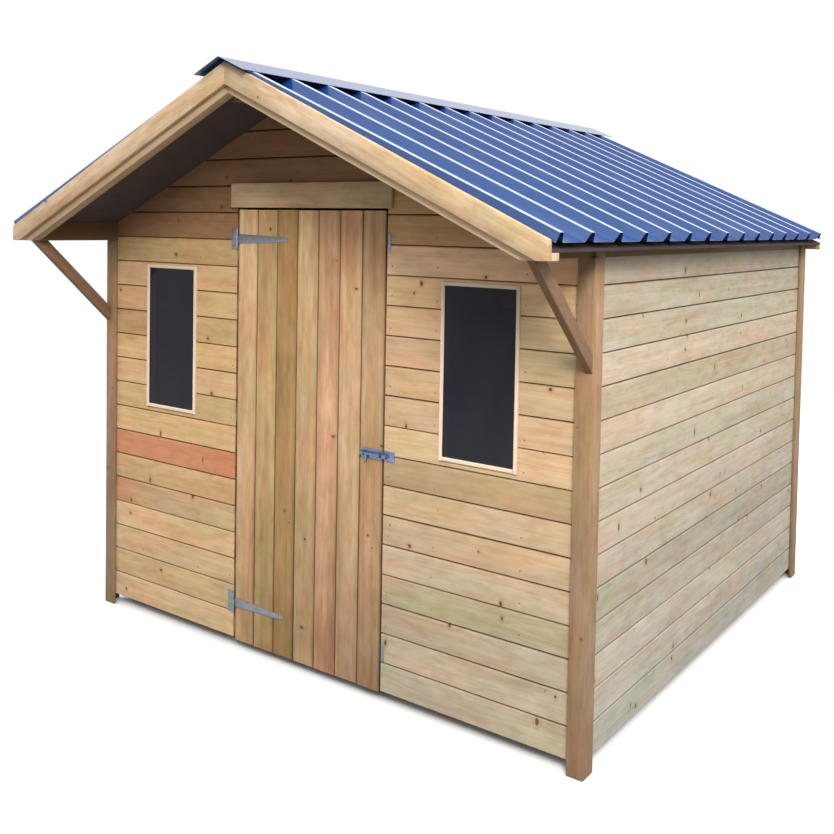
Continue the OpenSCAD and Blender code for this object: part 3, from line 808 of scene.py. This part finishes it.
# door, with a board for each tone
door_low, door_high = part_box("door_boards")
bm = bmesh.new()
DOOR_COUNT = len(DOOR_TONES)
DOOR_CHAMFER, FLOOR_CHAMFER = 3.6, 0.8
cover = (door_high.x - door_low.x) / DOOR_COUNT
thick = (door_high.y - door_low.y) / MM
for i in range(DOOR_COUNT):
    outline = tongued(cover / MM, thick, DOOR_CHAMFER, i == 0, i == DOOR_COUNT - 1)
    at = door_low.x + i * cover
    us = stations(door_low.z + rng.uniform(0, 1.5) * MM, door_high.z - rng.uniform(0, 1.5) * MM)
    bend = wavy(len(us), 0.5 * MM)
    cup = [abs(d) for d in wavy(len(us), 0.7 * MM)]

    def shift(k, v, w):
        """Bends the face and cups it, and leaves the joints and the back straight."""
        on_face = 4 * MM < v < cover - 4 * MM
        return bend[k] if on_face else 0, -cup[k] if w > -5 * MM else 0

    sweep(bm, outline, us, lambda u, v, w: (at + v, door_low.y - w, u), shift)
mesh = to_mesh(bm, "door_boards_tongued")


def door_dirt_and_shade(points):
    """Dirt and painted shade in the V joints, fading out over the first few millimetres of the
    face.
    """
    depth = points[:, 1] - door_low.y
    edge = np.minimum(points[:, 0] - points[:, 0].min(), points[:, 0].max() - points[:, 0])
    near = np.where(edge < 10 * MM, rng.uniform(0.12, 0.4), 0.0)
    return np.where(depth > 6 * MM, 0.0, np.maximum(near, np.clip(depth / (2.5 * MM), 0, 1)))


door_tints = iter([srgb(*tone) for tone in DOOR_TONES])


def door_tone(points):
    """Each board's own tone, with painted shade towards the foot and painted light under the roof.
    """
    return np.array(next(door_tints)) * np.interp(points[:, 2:], DOOR_HEIGHTS, DOOR_PAINTED_LIGHT)


grained(
    mesh,
    lambda points: (Z, X, -Y),
    door_tone,
    door_dirt_and_shade,
)
show("door_boards_tongued", mesh, DOOR, "door", "door_timber", "door_boards")

# floor
floor_low, floor_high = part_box("floor_boards")
bm = bmesh.new()
FLOOR_COUNT = 21
cover = (floor_high.x - floor_low.x) / FLOOR_COUNT
thick = (floor_high.z - floor_low.z) / MM
for i in range(FLOOR_COUNT):
    outline = tongued(cover / MM, thick, FLOOR_CHAMFER, i == 0, i == FLOOR_COUNT - 1)
    at = floor_low.x + i * cover
    sweep(bm, outline, [floor_low.y, floor_high.y], lambda u, v, w: (at + v, u, floor_high.z + w))
mesh = to_mesh(bm, "floor_boards_tongued")


def floor_face(points):
    """Height over the joints' dirt and painted shade line, and far below it for the boards'
    undersides.
    """
    height = points[:, 2] - floor_high.z
    return np.where(-height > 5 * MM, -1.0, height - 1 * MM)


grained(
    mesh,
    lambda points: (Y, X, Z),
    lambda points: draw_tone(FLOOR_TONES, 0.06),
    groove_dirt_and_shade(floor_face),
)
show("floor_boards_tongued", mesh, FLOOR, "root", "floor_timber", "floor_boards")

# ---------------------------------------------------------------- other timbers

timber("floor_bearers", TREATED_TONES, TREATED, "treated_timber", size=3 * MM)
for node in (
    "front_frame_left", "front_frame_right", "front_frame_top", "rear_frame",
    "left_frame", "right_frame",
):  # fmt: skip
    timber(node, FRAME_TONES, FRAMING, "frame_timber")


def rafter_tones(points):
    """The front rafter, seen under the bargeboards, is as pale as they are."""
    return BARGE_TONES if points[:, 1].max() < front_face else FRAME_TONES


for node in ("rafters_left", "rafters_right"):
    timber(node, rafter_tones, FRAMING, "frame_timber")
# the beams under the roof take painted shade
for node in ("eave_beam_left", "eave_beam_right", "ridge_beam"):
    timber(node, BEAM_PAINTED_SHADE_TONES, FRAMING, "frame_timber")
for end in ("front", "rear"):
    for side in ("left", "right"):
        timber(f"corner_trim_{end}_{side}", TRIM_TONES, TRIM, "trim_timber", size=2.5 * MM)
timber("door_header", HEADER_TONES, TRIM, "trim_timber", size=2.5 * MM)
timber("bargeboards_front", BARGE_TONES, BARGE, "barge_timber", size=2.5 * MM)
# painted shade: the rear bargeboards take the darker tones of the corner trims
timber("bargeboards_rear", TRIM_TONES, BARGE, "barge_timber", size=2.5 * MM)
for side in ("left", "right"):
    timber(f"knee_brace_{side}", BRACE_TONES, TRIM, "trim_timber", size=3 * MM)
timber("door_ledges", FRAME_TONES, FRAMING, "frame_timber", "door", size=2.5 * MM)

# ---------------------------------------------------------------- windows

BAR, BAR_LIP = 14 * MM, 12 * MM


def bar_axes(points):
    """Grain axes of a window bar, upright or level."""
    span = points.max(0) - points.min(0)
    return (Z, X, -Y) if span[2] > span[0] else (X, Z, -Y)


for side in ("left", "right"):
    low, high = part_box(f"window_frame_{side}")
    glass_low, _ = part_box(f"window_glass_{side}")
    back, rest = high.y - low.y, glass_low.y - low.y
    # one bar in section: in from the outer edge (a) and back from the front (d)
    section = [
        (FIT, 2 * MM), (FIT + 2 * MM, 0), (BAR - 3 * MM, 0), (BAR, 3 * MM), (BAR, rest),
        (BAR_LIP, rest), (BAR_LIP, back), (FIT, back),
    ]  # fmt: skip
    bm = bmesh.new()
    for x, turn in ((low.x, 1), (high.x, -1)):
        sweep(bm, section, [low.z, high.z], lambda u, a, d: (x + turn * a, low.y + d, u))
    for z, turn in ((low.z, 1), (high.z, -1)):
        sweep(
            bm,
            section,
            [low.x + BAR + 0.2 * MM, high.x - BAR - 0.2 * MM],
            lambda u, a, d: (u, low.y + d + (0.5 * MM if d == 0 else 0), z + turn * a),
        )
    mesh = to_mesh(bm, f"window_bars_{side}")
    grained(mesh, bar_axes, lambda points: draw_tone(PALE_TONES, 0.015))
    show(
        f"window_bars_{side}", mesh, PALE, "root", "pale_timber", f"window_frame_{side}"
    )
    bm = clean_solids(f"window_glass_{side}")
    ease(bm, 0.6 * MM, 1)
    show(
        f"window_pane_{side}", to_mesh(bm, f"window_pane_{side}"), GLASS, "root",
        "window_glass", f"window_glass_{side}",
    )  # fmt: skip

# ---------------------------------------------------------------- roof

pitch = math.atan(slope)
down = Vector((math.cos(pitch), 0, -math.sin(pitch)))
up = Vector((math.sin(pitch), 0, math.cos(pitch)))
for side in ("left", "right"):
    bm = clean_solids(f"roof_deck_{side}")
    ease(bm, 1 * MM, 1)
    show(
        f"roof_lining_{side}", to_mesh(bm, f"roof_lining_{side}"), LINING, "root",
        "roof_lining", f"roof_deck_{side}",
    )  # fmt: skip

sheet_low, sheet_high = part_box("roof_sheet_right")
cap_low, cap_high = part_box("ridge_cap")
_, deck_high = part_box("roof_deck_right")
RIB_H, RIB_TOP, RIB_FOOT, RIB_PITCH = (c * MM for c in (32, 24, 60, 203))
FIRST = RIB_TOP / 2
SHEET_T, CAP_T, CAP_HEM = 0.9 * MM, 1 * MM, 1.6 * MM
CAD_SHEET = 2 * MM
sheet_len = sheet_high.y - sheet_low.y
rib_count = int((sheet_len - FIRST - RIB_FOOT / 2) // RIB_PITCH) + 1
# where the steel's underside would meet the ridge plane
base = Vector((0, 0, deck_high.z + FIT * 1.1))
sheet_top = sheet_low.x / down.x
sheet_run = (sheet_high.x - FIT - up.x * (CAD_SHEET + RIB_H)) / down.x


def rounded(points, radius, steps=3):
    """An open line with its inner corners rounded."""
    out = [points[0]]
    for a, b, c in zip(points, points[1:], points[2:]):
        a, b, c = Vector(a), Vector(b), Vector(c)
        cut_by = min(radius, (a - b).length * 0.45, (c - b).length * 0.45)
        before, after = (a - b).normalized(), (c - b).normalized()
        p, q = b + before * cut_by, b + after * cut_by
        # a point on each flat keeps its shading flat
        out.append(tuple(p + before * min(1 * MM, cut_by / 4)))
        for k in range(steps + 1):
            t = k / steps
            out.append(tuple((1 - t) ** 2 * p + 2 * t * (1 - t) * b + t * t * q))
        out.append(tuple(q + after * min(1 * MM, cut_by / 4)))
    out.append(points[-1])
    return out


def thicken(line, t):
    """A closed outline from a line, t thick on its lower side."""
    inner = []
    for i, p in enumerate(line):
        a, b = Vector(line[max(i - 1, 0)]), Vector(line[min(i + 1, len(line) - 1)])
        d = (b - a).normalized()
        inner.append((p[0] + d.y * t, p[1] - d.x * t))
    return line + inner[::-1]


line = []
for i in range(rib_count):
    y = FIRST + i * RIB_PITCH
    # the first rib's front is plumb
    line += [
        (y - RIB_FOOT / 2, CAD_SHEET) if i else (0, 0), (y - RIB_TOP / 2, CAD_SHEET + RIB_H),
        (y + RIB_TOP / 2, CAD_SHEET + RIB_H), (y + RIB_FOOT / 2, CAD_SHEET),
    ]  # fmt: skip
line.append((sheet_len, CAD_SHEET))
profile = thicken(rounded(line, 3 * MM), SHEET_T)


def on_slope(side, run, y, h):
    """A point by its run down the slope, its place along the ridge and its height."""
    p = base + down * run + up * h
    return (side * p.x, y, p.z)


def crested(mesh, side):
    """Marks the points on the tops of the ribs, for their painted highlight."""
    normal = Vector((side * up.x, 0, up.z))
    level = CAD_SHEET + RIB_H - 0.4 * MM
    tops = [float((v.co - base).dot(normal) > level) for v in mesh.vertices]
    mesh.attributes.new("crest", "FLOAT", "POINT").data.foreach_set("value", tops)


for side, word in ((1, "right"), (-1, "left")):
    bm = bmesh.new()
    runs = [sheet_top + (sheet_run - sheet_top) * k / 8 for k in range(9)]
    sweep(bm, profile, runs, lambda u, v, w: on_slope(side, u, sheet_low.y + v, w))
    mesh = to_mesh(bm, f"steel_sheet_{word}")
    soften(mesh, 40)
    crested(mesh, side)
    show(
        f"steel_sheet_{word}", mesh, BLUE, "root", "blue_steel", f"roof_sheet_{word}"
    )

# ridge cap: two flanges with turned-down hems and a rounded fold
half_cap = cap_high.x
apex_z = cap_high.z
edge_z = cap_high.z - half_cap * slope
cap_line = rounded(
    [
        (-half_cap, edge_z - CAP_HEM), (-half_cap, edge_z), (0, apex_z), (half_cap, edge_z),
        (half_cap, edge_z - CAP_HEM),
    ],
    4 * MM,
)  # fmt: skip
bm = bmesh.new()
sweep(bm, thicken(cap_line, CAP_T), stations(cap_low.y, cap_high.y), lambda u, v, w: (v, u, w))
mesh = to_mesh(bm, "ridge_capping")
soften(mesh, 40)
show("ridge_capping", mesh, BLUE, "root", "blue_steel", "ridge_cap")

# ---------------------------------------------------------------- fixings


def head(bm, at, out, radius, height, sides=12, dome=True, turn=0.0):
    """A screw or nail head: rings round an axis, from the surface out."""
    out = Vector(out).normalized()
    a = out.orthogonal().normalized()
    b = out.cross(a)
    domed = ((1, 0), (1, 0.35), (0.8, 0.75), (0.4, 1.0))
    flat = ((1, 0), (1, 0.8), (0.86, 1.0))
    angles = [turn + 2 * math.pi * k / sides for k in range(sides)]
    rings = []
    for r, h in domed if dome else flat:
        centre = Vector(at) + out * (h * height)
        spokes = [(a * math.cos(t) + b * math.sin(t)) * radius * r for t in angles]
        rings.append([bm.verts.new(centre + spoke) for spoke in spokes])
    for lower, upper in zip(rings, rings[1:]):
        for i in range(sides):
            j = (i + 1) % sides
            bm.faces.new((lower[i], lower[j], upper[j], upper[i]))
    bm.faces.new(rings[0][::-1])
    bm.faces.new(rings[-1])


# roofing screws in the pans, over the rafters' ends and middle
bm = bmesh.new()
for side in (-1, 1):
    for i in range(rib_count - 1):
        y = sheet_low.y + FIRST + (i + 0.5) * RIB_PITCH
        for share in (0.14, 0.52, 0.94):
            at = on_slope(side, sheet_run * share, y, CAD_SHEET - 0.2 * MM)
            out = (side * up.x, 0, up.z)
            head(bm, at, out, 8 * MM, 1.6 * MM, 14, False)
            top = Vector(at) + Vector(out) * 1.5 * MM
            head(bm, top, out, 4.6 * MM, 4.5 * MM, 6, False, rng.uniform(0, 1))
mesh = to_mesh(bm, "roofing_screws")
show("roofing_screws", mesh, BLUE, "root", "blue_steel")

# nails: one to a board at each stud, clear of the roof and the doorway
bm = bmesh.new()
NAIL_R = 2.6 * MM
# under the boards' highest face
NAIL_SINK = 0.6 * MM
# from the roof's underside, and from a side wall's ends to its outer studs
CLEAR, END = 0.14, 70 * MM


def nail_rows(us, top, place, out):
    """Nails at each of us on every board; place(u, z) says where, or None for no nail."""
    for row in range(math.ceil((top - foot) / COVER)):
        z = foot + row * COVER + 30 * MM
        for u in us:
            at = place(u + rng.uniform(-4, 4) * MM, z + rng.uniform(-5, 5) * MM)
            if at is not None:
                head(bm, at, out, NAIL_R, 0.35 * MM, 8, False)


stud_ys = [side_low.y + END + (side_high.y - side_low.y - 2 * END) * k / 4 for k in (1, 2, 3)]
for side in (-1, 1):
    nail_rows(
        stud_ys, side_top - 0.02, lambda u, z: (side * (half_w - NAIL_SINK), u, z), (side, 0, 0)
    )


def front_nail(x, z):
    """A place on the front boards, if they are there."""
    if z > roof_under(x) - CLEAR or (abs(x) < opening + 0.01 and z < opening_top + 0.12):
        return None
    return (x, front_face + NAIL_SINK, z)


stud_xs = [opening + 22 * MM, frame_low.x - 22 * MM, frame_high.x + 22 * MM]
nail_rows([s * x for s in (-1, 1) for x in stud_xs] + [0.0], gable_high.z, front_nail, (0, -1, 0))
rear_xs = [-half_w * 0.485 * k for k in (-1, 0, 1)]
nail_rows(
    rear_xs,
    gable_high.z,
    lambda x, z: None if z > roof_under(x) - CLEAR else (x, rear_face - NAIL_SINK, z),
    (0, 1, 0),
)
show("board_nails", to_mesh(bm, "board_nails"), NAIL, "root", "galvanised_steel")

# ---------------------------------------------------------------- ironwork


def iron(node, material, body, slot, size, screws=()):
    """A CAD node's ironwork with eased edges, and screw heads at (x, y, z, radius)."""
    bm = clean_solids(node)
    ease(bm, size, 2, 40)
    for x, y, z, radius in screws:
        head(bm, (x, y, z), (0, -1, 0), radius, radius * 0.45, 16)
    mesh = to_mesh(bm, node + "_iron")
    soften(mesh, 35)
    show(node + "_iron", mesh, material, body, slot, node)


plate_low, plate_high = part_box("hinge_plates")
strap_low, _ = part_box("hinge_straps")
bolt_low, bolt_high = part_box("bolt_plate")
_, keep_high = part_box("bolt_keep")
jamb_low, jamb_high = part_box("jamb_plates")
PLATE_T, EASED = 2.5 * MM, 0.6 * MM
plate_face = front_face - PLATE_T
# screws up and down the hinge plates, and along the straps with the size of each head, in mm
PLATE_SCREWS = (-35, -12, 12, 35)
STRAP_SCREWS = ((45, 5.2), (130, 4.4), (205, 4.2), (262, 3.8))
hinge_zs = [plate_low.z + 45 * MM, plate_high.z - 45 * MM]
plate_x = plate_low.x + 13 * MM
iron(
    "hinge_plates", ZINC, "root", "galvanised_steel", EASED,
    [(plate_x, plate_face, z + d * MM, 4.2 * MM) for z in hinge_zs for d in PLATE_SCREWS],
)  # fmt: skip
iron(
    "hinge_straps", ZINC, "door", "galvanised_steel", EASED,
    [(strap_low.x + d * MM, plate_face, z, r * MM) for z in hinge_zs for d, r in STRAP_SCREWS],
)  # fmt: skip
bolt_z = (bolt_low.z + bolt_high.z) / 2
iron(
    "bolt_plate", BRIGHT, "door", "galvanised_steel", EASED,
    [
        (x, plate_face, bolt_z + d, 2.6 * MM)
        for x in (bolt_low.x + 26 * MM, bolt_high.x - 26 * MM)
        for d in (-14.5 * MM, 14.5 * MM)
    ],
)  # fmt: skip
iron(
    "bolt_keep", BRIGHT, "root", "galvanised_steel", EASED,
    [(keep_high.x - 9 * MM, plate_face, bolt_z + d, 3 * MM) for d in (-12 * MM, 12 * MM)],
)  # fmt: skip
iron("bolt_rod", BRIGHT, "bolt", "galvanised_steel", 2 * EASED)
jamb_x = (jamb_low.x + jamb_high.x) / 2
iron(
    "jamb_plates", ZINC, "root", "galvanised_steel", EASED,
    [(jamb_x, plate_face, z + d, 2.8 * MM) for z in hinge_zs for d in (-26 * MM, 26 * MM)],
)  # fmt: skip

# ---------------------------------------------------------------- floor, light and camera


def stage_floor():
    """A pale floor that takes the shed's shadow and turns white away from it."""
    n = Net(bpy.data.materials.new("studio_floor"))
    seen = n.seen()
    place = n.node("TexCoord").outputs["Object"]
    away = n.vec("LENGTH", place, out="Value")
    colour = n.mix(seen, (0.16, 0.16, 0.15, 1), (0.82, 0.82, 0.81, 1))
    matte = n.node("BsdfDiffuse", {"Color": colour}).outputs[0]
    white = n.node("Emission", {"Color": (1, 1, 1, 1), "Strength": 1.0}).outputs[0]
    far = n.math("MULTIPLY", seen, n.span(away, 2.2, 9.0, smooth=True))
    mixed = n.node("MixShader", {0: far, 1: matte, 2: white}).outputs[0]
    n.node("OutputMaterial", {0: mixed})
    bm = bmesh.new()
    size, below = 60, -1.5 * MM
    corners = ((-size, -size), (size, -size), (size, size), (-size, size))
    bm.faces.new([bm.verts.new((x, y, below)) for x, y in corners])
    mesh = bpy.data.meshes.new("studio_floor")
    bm.to_mesh(mesh)
    bm.free()
    mesh.materials.append(n.owner)
    obj = bpy.data.objects.new("studio_floor", mesh)
    scene.collection.objects.link(obj)


def light_world(strength):
    """A soft dome, brighter overhead, that shows as plain white."""
    scene.world = bpy.data.worlds.new("studio")
    n = Net(scene.world)
    height = n.split(n.node("TexCoord").outputs["Generated"])[2]
    # from the sine of the height: dim near the horizon, bright well above it
    lift = n.span(height, 0.10, 0.70, 0.12 * strength, 2.1 * strength, smooth=True)
    sky = n.node("Background", {0: (0.97, 0.985, 1.0, 1), 1: lift}).outputs[0]
    white = n.node("Background", {0: (1, 1, 1, 1), 1: 1.0}).outputs[0]
    mixed = n.node("MixShader", {0: n.seen(), 1: sky, 2: white}).outputs[0]
    n.node("OutputWorld", {0: mixed})


def area_lamp(name, place, target, size, watts, colour):
    """A round lamp turned towards its target."""
    data = bpy.data.lights.new(name, "AREA")
    data.shape, data.size, data.energy, data.color = "DISK", size, watts, colour
    obj = bpy.data.objects.new(name, data)
    scene.collection.objects.link(obj)
    obj.location = place
    obj.rotation_euler = (Vector(target) - Vector(place)).to_track_quat("-Z", "Y").to_euler()


stage_floor()
light_world(1.12)
area_lamp("key", (4.4, -5.4, 5.0), (0, -1.0, 0.9), 2.2, 415, (1.0, 0.975, 0.935))
area_lamp("side", (6.5, 0.5, 4.0), (1.2, 0.3, 1.0), 2.6, 60, (0.96, 0.98, 1.0))

scene.view_settings.view_transform = "Standard"

# the camera by its place, heading, tilt and roll, its focal length and its shift
CAMERA = {
    "place": (2.601, -4.007, 1.805),
    "azimuth": 37.33,
    "elevation": 2.28,
    "roll": 0.92,
    "lens": 43.39,
    "shift": (0.0517, -0.1855),
}
azimuth, elevation, roll = (math.radians(CAMERA[k]) for k in ("azimuth", "elevation", "roll"))
forward = Vector(
    (
        -math.sin(azimuth) * math.cos(elevation),
        math.cos(azimuth) * math.cos(elevation),
        -math.sin(elevation),
    )
)
level = forward.cross(Z).normalized()
upward = level.cross(forward)
right = math.cos(roll) * level + math.sin(roll) * upward
above_cam = -math.sin(roll) * level + math.cos(roll) * upward
lens = bpy.data.cameras.new("camera")
lens.sensor_width = 36
lens.lens = CAMERA["lens"]
lens.shift_x, lens.shift_y = CAMERA["shift"]
lens.clip_start, lens.clip_end = 0.05, 200
camera = bpy.data.objects.new("camera", lens)
scene.collection.objects.link(camera)
camera.matrix_world = Matrix.Translation(Vector(CAMERA["place"])) @ Matrix(
    (right, above_cam, -forward)
).transposed().to_4x4()
scene.camera = camera
